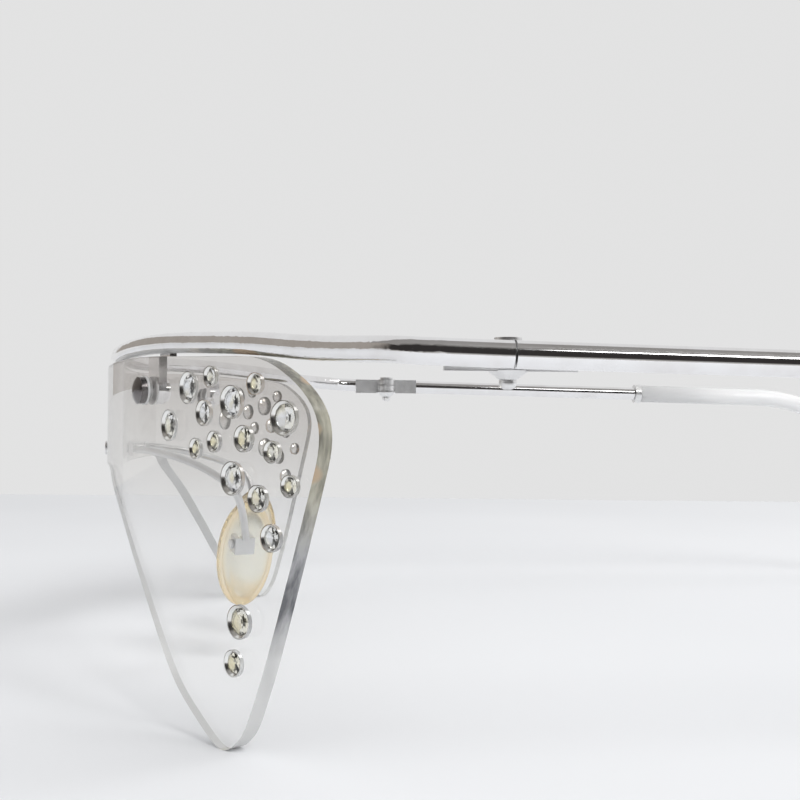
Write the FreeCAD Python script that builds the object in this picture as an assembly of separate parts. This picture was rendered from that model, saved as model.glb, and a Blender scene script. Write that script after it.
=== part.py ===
"""Rimless shield sunglasses with a metal brow bar, round set stones and folding temples.

Frame: origin under the middle of the bounding box, +X to the wearer's left, +Y to the rear,
+Z up, millimetres. The lens tips and the temple tips stand on z = 0.
"""

import math
import os

import FreeCAD
import Part

V = FreeCAD.Vector

# overall
TEMPLE_SPACING = 135.0
HINGE_HEIGHT = 39.0
HINGE_TO_APEX = 43.95

# lens
LENS_RADIUS = 78.0
LENS_THICKNESS = 2.0
LENS_TOP_GAP = 1.45
CUTOUT_TOP = 26.9
LENS_CUT_IN = 3.0
LENS_CUT_OUT = 1.0
INSIDE_TOLERANCE = 0.03

# left edge of the lens on its front face, top to cut-out: distance from the middle along X, height
LENS_SIDE = (
    (50.6, 39.3), (53.1, 39.1), (54.8, 38.5), (56.2, 37.5), (57.5, 36.2), (58.4, 34.8), (59.0, 33.2),
    (59.2, 31.5), (58.7, 27.4), (57.1, 19.7), (55.3, 11.8), (54.3, 7.9), (53.3, 4.6), (52.6, 2.6),
    (51.6, 1.0), (50.1, 0.0), (48.5, 0.6), (46.8, 1.9), (43.2, 4.8), (39.8, 8.7), (35.9, 13.4),
    (31.2, 18.1), (25.9, 22.3), (20.4, 25.6), (14.0, CUTOUT_TOP),
)

# brow bar
BAR_PATH_RADIUS = 76.6
BAR_CENTRE_RADIUS = 1.0
BAR_END_RADIUS = 1.25
BAR_ARC_END = math.radians(36.9)
BAR_BEND_RADIUS = 10.0
BROW_HEIGHTS = (
    (0.0, 40.6), (14.0, 40.8), (26.0, 41.1), (36.0, 41.2), (45.0, 40.9), (53.0, 40.4), (60.0, 39.7),
)
BROW_BEND_HEIGHT = 39.15
BROW_BEND_RISE = 0.2

# hinge
KNUCKLE_RADIUS = 1.6
HINGE_INSET = 3.0
PIN_RADIUS = 0.5
PIN_CLEARANCE = 0.05
LEAF_LENGTH = 6.0
LEAF_THICKNESS = 0.8
LEAF_GAP = 0.05
SEAM = 0.1
KNUCKLE_LEVELS = (-2.2, -1.05, 0.15, 1.3)
KNUCKLE_FOOT_RADIUS = 0.8
SKIRT_RADIUS = 1.9
SKIRT_DROP = 0.27
LEAF_FOOT = 1.42
KNUCKLE_GAP = 0.05
SCREW_HEAD_RADIUS = 1.25
SCREW_HEAD_HEIGHT = 0.35
HINGE_NUT_RADIUS = 0.8
HINGE_NUT_HEIGHT = 0.85
HINGE_NUT_ROUND = 0.56
HINGE_NUT_BORE = 0.51
PIN_BITE = 0.425
SLOT_WIDTH = 0.3
SLOT_DEPTH = 0.15

# temple
TUBE_RADIUS = 1.25
TEMPLE_SLOPE = math.radians(1.05)
SEAM_TO_SLEEVE = 51.2
SEAM_TO_BEND = 77.0
BEND_RADIUS = 34.0
BEND_ANGLE = math.radians(55.0)
CORE_RADIUS = 0.6
SLEEVE_RADIUS = 1.7
SLEEVE_BORE = 0.65
RING_LENGTH = 1.2
RING_RADIUS = 1.85
RING_GAP = 0.05
CORE_STOP = 8.0
CORE_ROOM = 0.5

# lens fixings
FIXING_X = 35.4
FIXING_Z = 36.0
FIXING_SHAFT = 0.6
FIXING_HOLE = 0.7
FIXING_HEAD = 0.5
FIXING_BITE = 0.49
TAB_THICKNESS = 0.8
TAB_HALF_WIDTH = 1.5
TAB_RISE = 4.9
WASHER_RADIUS = 1.6
WASHER_THICKNESS = 0.25
NUT_RADIUS = 1.5
NUT_HEIGHT = 0.7
NUT_DOME = 0.5
NUT_BORE = 0.56

# bridge and pad arms
BRIDGE_HALF = 7.5
BRIDGE_LOW = 27.6
BRIDGE_HIGH = 29.6
BRIDGE_THICKNESS = 0.8
BRIDGE_GAP = 0.1
BRIDGE_SCREW_X = 4.5
BRIDGE_SCREW_HEAD = 0.95
BRIDGE_SCREW_PROUD = 0.5
BRIDGE_HEAD_REACH = 0.44
BRIDGE_HEAD_ROUND = 0.2
ARM_RADIUS = 0.5
ARM_START_X = 6.6
ARM_START_BACK = 0.25
ARM_START_UP = 0.9
ARM_END = (1.42, 0.92)
ARM_ENTRY = (-0.15, 0.1, -1.0)

# pad arm's course: distance from the middle along X, share of the run to the rear, drop from the start
ARM_COURSE = ((7.6, 0.25, 0.4), (11.2, 0.55, 1.6))

# last point before the arm's end: distance outside it, share of the run, rise over the mean height
ARM_TURN = (1.6, 0.86, 1.6)

# nose pads
PAD_PIVOT = (13.0, 25.2, 16.5)
PAD_TURN = math.radians(22.0)
PAD_LEAN = math.radians(12.0)
PAD_HEIGHT = 14.6
PAD_WIDTH = 7.8
PAD_THICKNESS = 2.0
PAD_ROUND = 0.84
PAD_OFFSET = 1.5
PAD_DROP = 2.3
PAD_BACK = 1.5
PAD_PIN_RADIUS = 0.35
PAD_PIN_CLEARANCE = 0.05
PAD_HEAD_RADIUS = 0.65
PAD_HEAD_HEIGHT = 0.35
PAD_HEAD_GAP = 0.02
LUG_SIZE = 1.3
LUG_WIDTH = 1.0
LUG_ROOT = 0.3
BOX_WIDTH = 2.6
BOX_WALL = 0.6
BOX_HEIGHT = 2.2
BOX_FRONT = 0.9
BOX_BACK = 1.3
BOX_PIN_GAP = 0.01

# stones: distance from the middle along X, height, diameter
LARGE, MEDIUM, SMALL = 3.4, 2.7, 2.2
STONES = (
    (56.1, 33.2, LARGE), (50.5, 34.7, LARGE), (44.3, 36.2, LARGE), (40.8, 32.2, LARGE),
    (50.7, 27.1, LARGE), (51.7, 13.0, LARGE), (46.8, 33.6, MEDIUM), (52.0, 31.1, MEDIUM),
    (53.6, 25.3, MEDIUM), (55.0, 21.6, MEDIUM), (51.1, 8.8, MEDIUM), (53.2, 36.5, SMALL),
    (47.7, 37.3, SMALL), (45.6, 29.9, SMALL), (48.3, 30.7, SMALL), (55.0, 29.9, SMALL),
    (56.7, 26.7, SMALL),
)
POCKET_DEPTH = 0.85
CUP_GAP = 0.03
CUP_HEIGHT = 0.8
CUP_FLOOR = 0.12
CUP_LIP = 0.08
CUP_TAPER = 0.6
STONE_GAP = 0.02
STONE_SUNK = 0.03
STONE_TABLE = 0.6
GIRDLE_DEPTH = 0.25
THIN_GAP = 0.02

# derived places
HALF = TEMPLE_SPACING / 2.0
STRAIGHT_DROP = SEAM_TO_BEND * math.tan(TEMPLE_SLOPE)
TAIL_ANGLE = TEMPLE_SLOPE + BEND_ANGLE
BEND_DROP = BEND_RADIUS * (math.cos(TEMPLE_SLOPE) - math.cos(TAIL_ANGLE))
BEND_RUN = BEND_RADIUS * (math.sin(TAIL_ANGLE) - math.sin(TEMPLE_SLOPE))
TAIL_DROP = HINGE_HEIGHT - STRAIGHT_DROP - BEND_DROP - SLEEVE_RADIUS
TAIL_LENGTH = TAIL_DROP / math.sin(TAIL_ANGLE)
REAR_REACH = SEAM_TO_BEND + BEND_RUN + TAIL_LENGTH * math.cos(TAIL_ANGLE) + SLEEVE_RADIUS
FRONT_REACH = HINGE_TO_APEX + BRIDGE_HEAD_REACH
HINGE_Y = (FRONT_REACH - REAR_REACH) / 2.0
APEX_Y = HINGE_Y - HINGE_TO_APEX
LENS_CENTRE_Y = APEX_Y + LENS_RADIUS
AXIS_X = HALF - HINGE_INSET


def both_sides(name, shape):
    """Write a left piece and its mirror image on the right."""
    save(name + "_left", shape)
    save(name + "_right", shape.mirror(V(0, 0, 0), V(1, 0, 0)))


def save(name, shape):
    """Write one node."""
    shape.exportStep(os.path.join("parts", name + ".step"))


def place(shape, point, turn=0.0, lean=0.0):
    """Lean a shape about Y, turn it about Z and move it to a point."""
    done = shape.copy()
    done.rotate(V(0, 0, 0), V(0, 1, 0), math.degrees(lean))
    done.rotate(V(0, 0, 0), V(0, 0, 1), math.degrees(turn))
    done.translate(point)
    return done


def sweep(wire, radius, end_radius=None):
    """Run a round section along a wire, tapering to another radius if one is given."""
    first = wire.OrderedEdges[0]
    last = wire.OrderedEdges[-1]
    start = first.firstVertex(True).Point
    finish = last.lastVertex(True).Point
    sections = [round_section(start, first.tangentAt(first.FirstParameter), radius)]
    if end_radius is not None:
        sections.append(round_section(finish, last.tangentAt(last.LastParameter), end_radius))
    return Part.Solid(wire.makePipeShell(sections, True, False))


def round_section(point, direction, radius):
    """A circle across a path."""
    return Part.Wire(Part.Edge(Part.Circle(point, direction, radius)))


def spline(points, first=None, last=None):
    """A smooth edge through points, with end directions if they are given."""
    curve = Part.BSplineCurve()
    if first is None:
        curve.interpolate(points)
    else:
        curve.interpolate(Points=points, InitialTangent=first, FinalTangent=last)
    return curve.toShape()


def radial_frame(x, radius=LENS_RADIUS):
    """Point on an upright cylinder at this x, and the angle of its outward direction."""
    angle = math.asin(x / LENS_RADIUS)
    point = V(radius * math.sin(angle), LENS_CENTRE_Y - radius * math.cos(angle), 0)
    return point, angle


def radial(shape, x, z, radius=LENS_RADIUS):
    """Stand a shape built along +Z on the lens surface, its +Z pointing out of the front."""
    point, angle = radial_frame(x, radius)
    done = shape.copy()
    done.rotate(V(0, 0, 0), V(1, 0, 0), 90.0)
    done.rotate(V(0, 0, 0), V(0, 0, 1), math.degrees(angle))
    done.translate(point + V(0, 0, z))
    return done


def bar_plan():
    """Corner points of the bar's plan: arc end, bend start and bend end."""
    arc_x = BAR_PATH_RADIUS * math.sin(BAR_ARC_END)
    arc_y = LENS_CENTRE_Y - BAR_PATH_RADIUS * math.cos(BAR_ARC_END)
    corner_y = arc_y + (HALF - arc_x) * math.tan(BAR_ARC_END)
    cut = BAR_BEND_RADIUS * math.tan((math.pi / 2.0 - BAR_ARC_END) / 2.0)
    bend_start = (HALF - cut * math.cos(BAR_ARC_END), corner_y - cut * math.sin(BAR_ARC_END))
    bend_end = (HALF, corner_y + cut)
    return (arc_x, arc_y), bend_start, bend_end


def bar_y(x):
    """Y of the bar's centreline at this x, ahead of the bend."""
    (arc_x, arc_y), _, _ = bar_plan()
    if x <= arc_x:
        return LENS_CENTRE_Y - math.sqrt(BAR_PATH_RADIUS ** 2 - x ** 2)
    return arc_y + (x - arc_x) * math.tan(BAR_ARC_END)


def make_brow_bar():
    """One tapering bar from the middle to each hinge, both halves joined."""
    _, bend_start, bend_end = bar_plan()
    points = [V(x, bar_y(x), z) for x, z in BROW_HEIGHTS]
    middle = math.pi / 4.0 - BAR_ARC_END / 2.0
    middle_x = HALF - BAR_BEND_RADIUS * (1.0 - math.cos(middle))
    middle_y = bend_end[1] - BAR_BEND_RADIUS * math.sin(middle)
    points.append(V(middle_x, middle_y, BROW_BEND_HEIGHT + BROW_BEND_RISE))
    points.append(V(bend_end[0], bend_end[1], BROW_BEND_HEIGHT))
    fall = (HINGE_HEIGHT - BROW_BEND_HEIGHT) / (HINGE_Y - bend_end[1])
    end = V(HALF, HINGE_Y - SEAM, HINGE_HEIGHT)
    curve = spline(points, V(1, 0, 0), V(0, 1, fall))
    wire = Part.Wire([curve, Part.LineSegment(points[-1], end).toShape()])
    half = sweep(wire, BAR_CENTRE_RADIUS, BAR_END_RADIUS)
    other = half.mirror(V(0, 0, 0), V(1, 0, 0))
    return half.fuse(other).removeSplitter()


def lens_outline():
    """Half of the lens edge on the front face, from the middle of the top round to the cut-out."""
    points = [(x, z - LENS_TOP_GAP) for x, z in BROW_HEIGHTS if x < LENS_SIDE[0][0]]
    points.extend(LENS_SIDE)
    points.append((0.0, CUTOUT_TOP))
    return points


def rim(radius):
    """The left half of the lens edge, carried along the lens's own radii to a cylinder."""
    level = []
    for x, z in lens_outline():
        point, _ = radial_frame(x, radius)
        level.append(V(point.x, point.y, z))
    straight = Part.Arc(level[-1], arc_middle(level[-1], level[-2]), level[-2]).toShape()
    return spline(level[:-1], V(1, 0, 0), V(-1, 0, 0)), straight


def arc_middle(first, last):
    """Point half way between two others, kept on the same upright cylinder."""
    radius = math.hypot(first.x, first.y - LENS_CENTRE_Y)
    half = math.asin((first.x + last.x) / 2.0 / radius)
    return V(radius * math.sin(half), LENS_CENTRE_Y - radius * math.cos(half), first.z)


def rim_walls():
    """Faces square to the lens that pass through it round its left half."""
    outer = rim(LENS_RADIUS + LENS_CUT_OUT)
    inner = rim(LENS_RADIUS - LENS_CUT_IN)
    return [Part.makeRuledSurface(far, near) for far, near in zip(outer, inner)]


def lens_holes():
    """Through holes for the side screws and the bridge screws."""
    drill = Part.makeCylinder(FIXING_HOLE, LENS_THICKNESS * 3.0, V(0, 0, -LENS_THICKNESS * 2.0))
    places = [(FIXING_X, FIXING_Z), (BRIDGE_SCREW_X, (BRIDGE_LOW + BRIDGE_HIGH) / 2.0)]
    holes = []
    for x, z in places:
        hole = radial(drill, x, z)
        holes.append(hole)
        holes.append(hole.mirror(V(0, 0, 0), V(1, 0, 0)))
    return holes


def lens_pockets():
    """Blind round pockets in the front face, one for each stone."""
    pockets = []
    for x, z, diameter in STONES:
        drill = Part.makeCylinder(diameter / 2.0, 2.0 * POCKET_DEPTH)
        pocket = radial(drill, x, z, LENS_RADIUS - POCKET_DEPTH)
        pockets.append(pocket)
        pockets.append(pocket.mirror(V(0, 0, 0), V(1, 0, 0)))
    return pockets


def half_shell():
    """Left half of the curved sheet that the lens is cut from."""
    tall = HINGE_HEIGHT + 3.0 * LENS_CUT_IN
    low = V(0, LENS_CENTRE_Y, -LENS_CUT_IN)
    outer = Part.makeCylinder(LENS_RADIUS, tall, low)
    inner = Part.makeCylinder(LENS_RADIUS - LENS_THICKNESS, tall, low)
    corner = V(0, APEX_Y - LENS_CUT_OUT, -LENS_CUT_IN)
    return outer.cut(inner).common(Part.makeBox(2.0 * LENS_RADIUS, LENS_RADIUS, tall, corner))


def make_shield_lens():
    """Curved shield cut to its outline square to its face, with four holes and the stone pockets."""
    parts, _ = half_shell().generalFuse(rim_walls())
    inside, _ = radial_frame(FIXING_X, LENS_RADIUS - LENS_THICKNESS / 2.0)
    inside.z = FIXING_Z
    half = [solid for solid in parts.Solids if solid.isInside(inside, INSIDE_TOLERANCE, False)][0]
    lens = half.fuse(half.mirror(V(0, 0, 0), V(1, 0, 0))).removeSplitter()
    for tool in lens_holes() + lens_pockets():
        lens = lens.cut(tool)
    return lens


def make_lens_tab():
    """Small plate hanging behind the lens, rounded at the foot, drilled for its screw."""
    plate = Part.makeBox(2.0 * TAB_HALF_WIDTH, TAB_RISE, TAB_THICKNESS, V(-TAB_HALF_WIDTH, 0, 0))
    foot = Part.makeCylinder(TAB_HALF_WIDTH, TAB_THICKNESS)
    bore = Part.makeCylinder(FIXING_HOLE, 3.0 * TAB_THICKNESS, V(0, 0, -TAB_THICKNESS))
    tab = plate.fuse(foot).removeSplitter().cut(bore)
    back = LENS_RADIUS - LENS_THICKNESS - WASHER_THICKNESS - TAB_THICKNESS
    return radial(tab, FIXING_X, FIXING_Z, back)


def make_lens_screw():
    """Flat-headed screw from behind the tab into the cap nut."""
    back = LENS_THICKNESS + WASHER_THICKNESS + TAB_THICKNESS
    length = back + WASHER_THICKNESS + FIXING_BITE
    shaft = Part.makeCylinder(FIXING_SHAFT, length, V(0, 0, -back))
    head = Part.makeCylinder(SCREW_HEAD_RADIUS, FIXING_HEAD, V(0, 0, -back - FIXING_HEAD))
    corner = V(-SCREW_HEAD_RADIUS, -SLOT_WIDTH / 2.0, -back - FIXING_HEAD)
    slot = Part.makeBox(2.0 * SCREW_HEAD_RADIUS, SLOT_WIDTH, SLOT_DEPTH, corner)
    return radial(shaft.fuse(head).removeSplitter().cut(slot), FIXING_X, FIXING_Z)


def make_cap_nut():
    """Domed nut on the front of the lens, with a blind bore."""
    base = Part.makeCylinder(NUT_RADIUS, NUT_HEIGHT)
    dome_radius = (NUT_RADIUS ** 2 + NUT_DOME ** 2) / (2.0 * NUT_DOME)
    dome = Part.makeSphere(dome_radius, V(0, 0, NUT_HEIGHT + NUT_DOME - dome_radius))
    cap = Part.makeCylinder(NUT_RADIUS, 2.0 * NUT_DOME, V(0, 0, NUT_HEIGHT)).common(dome)
    bore = Part.makeCylinder(FIXING_SHAFT + THIN_GAP, NUT_BORE)
    nut = base.fuse(cap).removeSplitter().cut(bore)
    return radial(nut, FIXING_X, FIXING_Z, LENS_RADIUS + WASHER_THICKNESS)


def make_washers():
    """One thin washer on each side of the lens."""
    thin = WASHER_THICKNESS - 2.0 * THIN_GAP
    ring = Part.makeCylinder(WASHER_RADIUS, thin).cut(Part.makeCylinder(FIXING_HOLE, thin))
    front = radial(ring, FIXING_X, FIXING_Z, LENS_RADIUS + THIN_GAP)
    rear = radial(ring, FIXING_X, FIXING_Z, LENS_RADIUS - LENS_THICKNESS - WASHER_THICKNESS)
    return Part.makeCompound([front, rear])


def make_cup(diameter):
    """Thin metal cup with a sloping wall that lines a pocket."""
    radius = diameter / 2.0 - CUP_GAP
    body = Part.makeCylinder(radius, CUP_HEIGHT, V(0, 0, CUP_GAP))
    floor = V(0, 0, CUP_GAP + CUP_FLOOR)
    opening = Part.makeCone(radius * CUP_TAPER, radius - CUP_LIP, CUP_HEIGHT - CUP_FLOOR, floor)
    return body.cut(opening)


def make_stone(diameter):
    """Round faceted stone: a cone seated in the cup with a bevelled crown and a flat table."""
    radius = diameter / 2.0 - CUP_GAP
    bottom = radius * CUP_TAPER - STONE_GAP
    slope = (radius - CUP_LIP - radius * CUP_TAPER) / (CUP_HEIGHT - CUP_FLOOR)
    seat = radius - CUP_LIP - GIRDLE_DEPTH * slope - STONE_GAP
    low = CUP_GAP + CUP_FLOOR + STONE_GAP
    girdle = CUP_GAP + CUP_HEIGHT - GIRDLE_DEPTH
    pavilion = Part.makeCone(bottom, seat, girdle - low, V(0, 0, low))
    crown = Part.makeCone(seat, seat * STONE_TABLE, GIRDLE_DEPTH - STONE_SUNK, V(0, 0, girdle))
    return pavilion.fuse(crown)


def make_set(builder):
    """One piece for each stone place, as a group of solids."""
    pieces = []
    for x, z, diameter in STONES:
        pieces.append(radial(builder(diameter), x, z, LENS_RADIUS - POCKET_DEPTH))
    return Part.makeCompound(pieces)


def ring_slice(low, high, inner, outer, half_width):
    """Upright curved plate on the lens's circle, symmetric about the middle."""
    tall = high - low
    shell = Part.makeCylinder(outer, tall, V(0, LENS_CENTRE_Y, low))
    shell = shell.cut(Part.makeCylinder(inner, tall, V(0, LENS_CENTRE_Y, low)))
    block = Part.makeBox(2.0 * half_width, LENS_RADIUS, tall, V(-half_width, APEX_Y - LENS_CUT_OUT, low))
    return shell.common(block)


def make_pad_bridge():
    """Curved plate behind the middle of the lens that carries both pad arms."""
    face = LENS_RADIUS - LENS_THICKNESS - BRIDGE_GAP
    plate = ring_slice(BRIDGE_LOW, BRIDGE_HIGH, face - BRIDGE_THICKNESS, face, BRIDGE_HALF)
    deep = BRIDGE_GAP + 2.0 * BRIDGE_THICKNESS
    bore = Part.makeCylinder(FIXING_HOLE, deep, V(0, 0, -LENS_THICKNESS - deep))
    middle = (BRIDGE_LOW + BRIDGE_HIGH) / 2.0
    hole = radial(bore, BRIDGE_SCREW_X, middle)
    return plate.cut(hole).cut(hole.mirror(V(0, 0, 0), V(1, 0, 0)))


def make_bridge_screw():
    """Screw with a low domed head in front of the lens, one of the pair."""
    back = LENS_THICKNESS + BRIDGE_GAP + BRIDGE_THICKNESS
    shaft = Part.makeCylinder(FIXING_SHAFT, back, V(0, 0, -back))
    head = Part.makeCylinder(BRIDGE_SCREW_HEAD, BRIDGE_SCREW_PROUD, V(0, 0, THIN_GAP))
    head = head.makeFillet(BRIDGE_HEAD_ROUND, [head.Edges[0]])
    neck = Part.makeCylinder(FIXING_SHAFT, THIN_GAP)
    middle = (BRIDGE_LOW + BRIDGE_HIGH) / 2.0
    return radial(shaft.fuse(neck).fuse(head).removeSplitter(), BRIDGE_SCREW_X, middle)


def pad_point(x, y, z):
    """A point given from the pad's pivot, in the pad's own turned frame."""
    local = Part.Vertex(x, y, z)
    return place(local, pad_pivot(), PAD_TURN, PAD_LEAN).Point


def pad_pivot():
    """Pad pivot in the object's frame."""
    return V(PAD_PIVOT[0], HINGE_Y - PAD_PIVOT[1], PAD_PIVOT[2])


def make_pad_arm():
    """Wire from the bridge plate back, out and down to the pad's box."""
    plate_y = APEX_Y + LENS_THICKNESS + BRIDGE_THICKNESS
    start = V(ARM_START_X, plate_y + ARM_START_BACK, BRIDGE_LOW + ARM_START_UP)
    end = pad_point(ARM_END[0], 0, ARM_END[1])
    run = end.y - start.y
    points = [start]
    for x, share, drop in ARM_COURSE:
        points.append(V(x, start.y + share * run, start.z - drop))
    outside, share, rise = ARM_TURN
    points.append(V(end.x + outside, start.y + share * run, (start.z + end.z) / 2.0 + rise))
    points.append(end)
    wire = Part.Wire(spline(points, V(0, 1, 0), V(*ARM_ENTRY)))
    return sweep(wire, ARM_RADIUS)


def make_pad_box():
    """Open box on the arm's end: two cheeks and a back around the pad's lug."""
    half = BOX_WIDTH / 2.0
    block = Part.makeBox(BOX_HEIGHT, BOX_WIDTH, BOX_HEIGHT, V(-BOX_FRONT, -half, -BOX_HEIGHT / 2.0))
    inside = BOX_WIDTH - 2.0 * BOX_WALL
    slot = Part.makeBox(BOX_HEIGHT, inside, 2.0 * BOX_HEIGHT, V(-BOX_BACK, -inside / 2.0, -BOX_HEIGHT))
    radius = PAD_PIN_RADIUS + BOX_PIN_GAP
    bore = Part.makeCylinder(radius, 2.0 * BOX_WIDTH, V(0, -BOX_WIDTH, 0), V(0, 1, 0))
    return place(block.cut(slot).cut(bore), pad_pivot(), PAD_TURN, PAD_LEAN)


def make_pad_screw():
    """Tiny screw through the box and the pad's lug."""
    near = -BOX_WIDTH / 2.0 - PAD_HEAD_GAP
    length = BOX_WIDTH + PAD_HEAD_HEIGHT
    shaft = Part.makeCylinder(PAD_PIN_RADIUS, length, V(0, near, 0), V(0, 1, 0))
    head = Part.makeCylinder(PAD_HEAD_RADIUS, PAD_HEAD_HEIGHT, V(0, near - PAD_HEAD_HEIGHT, 0), V(0, 1, 0))
    return place(shaft.fuse(head), pad_pivot(), PAD_TURN, PAD_LEAN)


def make_nose_pad():
    """Soft oval pad with a small drilled lug behind it."""
    ellipse = Part.Ellipse(V(0, 0, 0), PAD_HEIGHT / 2.0, PAD_WIDTH / 2.0)
    disc = Part.Face(Part.Wire(ellipse.toShape())).extrude(V(0, 0, PAD_THICKNESS))
    rims = [edge for edge in disc.Edges if edge.Length > PAD_HEIGHT]
    disc = disc.makeFillet(PAD_ROUND, rims)
    disc.rotate(V(0, 0, 0), V(0, 1, 0), -90.0)
    disc.translate(V(-PAD_OFFSET, PAD_BACK, -PAD_DROP))
    root = PAD_OFFSET + LUG_ROOT
    corner = V(-root, -LUG_WIDTH / 2.0, -LUG_SIZE / 2.0)
    lug = Part.makeBox(root + LUG_SIZE / 2.0, LUG_WIDTH, LUG_SIZE, corner)
    radius = PAD_PIN_RADIUS + PAD_PIN_CLEARANCE
    bore = Part.makeCylinder(radius, 2.0 * LUG_WIDTH, V(0, -LUG_WIDTH, 0), V(0, 1, 0))
    pad = disc.fuse(lug).cut(bore)
    return place(pad, pad_pivot(), PAD_TURN, PAD_LEAN)


def knuckle(low, high, radius=KNUCKLE_RADIUS):
    """Round knuckle about the hinge axis between two heights."""
    return Part.makeCylinder(radius, high - low, axis_point(low))


def axis_point(level):
    """Point on the hinge axis at a level above the tube's centre."""
    return V(AXIS_X, HINGE_Y, HINGE_HEIGHT + level)


def knuckle_ring(low, high):
    """One knuckle; the lowest carries a skirt that narrows to its foot."""
    foot = low + KNUCKLE_GAP
    top = high - KNUCKLE_GAP
    if low > KNUCKLE_LEVELS[0]:
        return knuckle(foot, top)
    brim = high - SKIRT_DROP
    skirt = Part.makeCone(KNUCKLE_FOOT_RADIUS, SKIRT_RADIUS, brim - foot, axis_point(foot))
    return knuckle(brim, top).fuse(skirt)


def leaf(rear, levels, away):
    """Flat hinge leaf with its knuckles, on the inside of the tube."""
    outside = HALF - TUBE_RADIUS - LEAF_GAP
    low = HINGE_HEIGHT - LEAF_FOOT
    tall = LEAF_FOOT + KNUCKLE_LEVELS[3] - 2.0 * KNUCKLE_GAP
    near = HINGE_Y + SEAM if rear else HINGE_Y - LEAF_LENGTH
    plate = Part.makeBox(LEAF_THICKNESS, LEAF_LENGTH - SEAM, tall, V(outside - LEAF_THICKNESS, near, low))
    for low_cut, high_cut in away:
        plate = plate.cut(knuckle(low_cut - KNUCKLE_GAP, high_cut + KNUCKLE_GAP, KNUCKLE_RADIUS + SEAM))
    plate = plate.cut(knuckle(-LEAF_FOOT, -TUBE_RADIUS, SKIRT_RADIUS + 2.0 * SEAM))
    for low_knuckle, high_knuckle in levels:
        plate = plate.fuse(knuckle_ring(low_knuckle, high_knuckle))
    bore = knuckle(KNUCKLE_LEVELS[0] - SEAM, KNUCKLE_LEVELS[3] + SEAM, PIN_RADIUS + PIN_CLEARANCE)
    return plate.removeSplitter().cut(bore)


def driver_slot(level, upward):
    """Straight screwdriver slot across the hinge axis, cut from a level up or down."""
    wide = 2.0 * SCREW_HEAD_RADIUS
    foot = level - SLOT_DEPTH if upward else level - wide + SLOT_DEPTH
    corner = axis_point(foot) - V(SLOT_WIDTH / 2.0, wide / 2.0, 0)
    return Part.makeBox(SLOT_WIDTH, wide, wide, corner)


def make_hinge_screw():
    """Hinge pin with a flat slotted head on top."""
    top = KNUCKLE_LEVELS[3]
    length = top - KNUCKLE_LEVELS[0] + PIN_BITE
    shaft = Part.makeCylinder(PIN_RADIUS, length, axis_point(top - length))
    head = Part.makeCylinder(SCREW_HEAD_RADIUS, SCREW_HEAD_HEIGHT, axis_point(top))
    return shaft.fuse(head).removeSplitter().cut(driver_slot(top + SCREW_HEAD_HEIGHT, True))


def make_hinge_nut():
    """Small domed nut under the hinge, slotted across the dome."""
    top = KNUCKLE_LEVELS[0] + KNUCKLE_GAP - THIN_GAP
    foot = top - HINGE_NUT_HEIGHT
    nut = Part.makeCylinder(HINGE_NUT_RADIUS, HINGE_NUT_HEIGHT, axis_point(foot))
    rim_edge = [edge for edge in nut.Edges if abs(edge.BoundBox.ZMax - HINGE_HEIGHT - foot) < KNUCKLE_GAP]
    nut = nut.makeFillet(HINGE_NUT_ROUND, rim_edge)
    bore = Part.makeCylinder(PIN_RADIUS + THIN_GAP, HINGE_NUT_BORE, axis_point(top - HINGE_NUT_BORE))
    return nut.cut(bore).cut(driver_slot(foot, False))


def temple_point(run, drop):
    """Point on the temple's centreline from its distance and drop behind the hinge."""
    return V(HALF, HINGE_Y + run, HINGE_HEIGHT - drop)


def temple_wire(start, tail):
    """Centreline from a distance behind the hinge, round the ear bend, down part of the tail."""
    slope = math.tan(TEMPLE_SLOPE)
    first = temple_point(start, start * slope)
    bend = temple_point(SEAM_TO_BEND, STRAIGHT_DROP)
    half = TEMPLE_SLOPE + BEND_ANGLE / 2.0
    run = BEND_RADIUS * (math.sin(half) - math.sin(TEMPLE_SLOPE))
    drop = BEND_RADIUS * (math.cos(TEMPLE_SLOPE) - math.cos(half))
    middle = temple_point(SEAM_TO_BEND + run, STRAIGHT_DROP + drop)
    over = temple_point(SEAM_TO_BEND + BEND_RUN, STRAIGHT_DROP + BEND_DROP)
    last = over + V(0, math.cos(TAIL_ANGLE), -math.sin(TAIL_ANGLE)) * tail
    edges = [Part.LineSegment(first, bend).toShape(), Part.Arc(bend, middle, over).toShape()]
    edges.append(Part.LineSegment(over, last).toShape())
    return Part.Wire(edges), last


def make_temple():
    """Straight tube with a thin core that runs on inside the sleeve."""
    slope = math.tan(TEMPLE_SLOPE)
    start = temple_point(SEAM, SEAM * slope)
    finish = temple_point(SEAM_TO_SLEEVE, SEAM_TO_SLEEVE * slope)
    tube = sweep(Part.Wire(Part.LineSegment(start, finish).toShape()), TUBE_RADIUS)
    wire, _ = temple_wire(SEAM_TO_SLEEVE, TAIL_LENGTH - CORE_STOP)
    return tube.fuse(sweep(wire, CORE_RADIUS))


def make_tip_ring():
    """Metal collar where the sleeve begins."""
    slope = math.tan(TEMPLE_SLOPE)
    start = temple_point(SEAM_TO_SLEEVE + RING_GAP, (SEAM_TO_SLEEVE + RING_GAP) * slope)
    along = V(0, math.cos(TEMPLE_SLOPE), -math.sin(TEMPLE_SLOPE))
    ring = Part.makeCylinder(RING_RADIUS, RING_LENGTH, start, along)
    return ring.cut(Part.makeCylinder(SLEEVE_BORE, RING_LENGTH, start, along))


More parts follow.
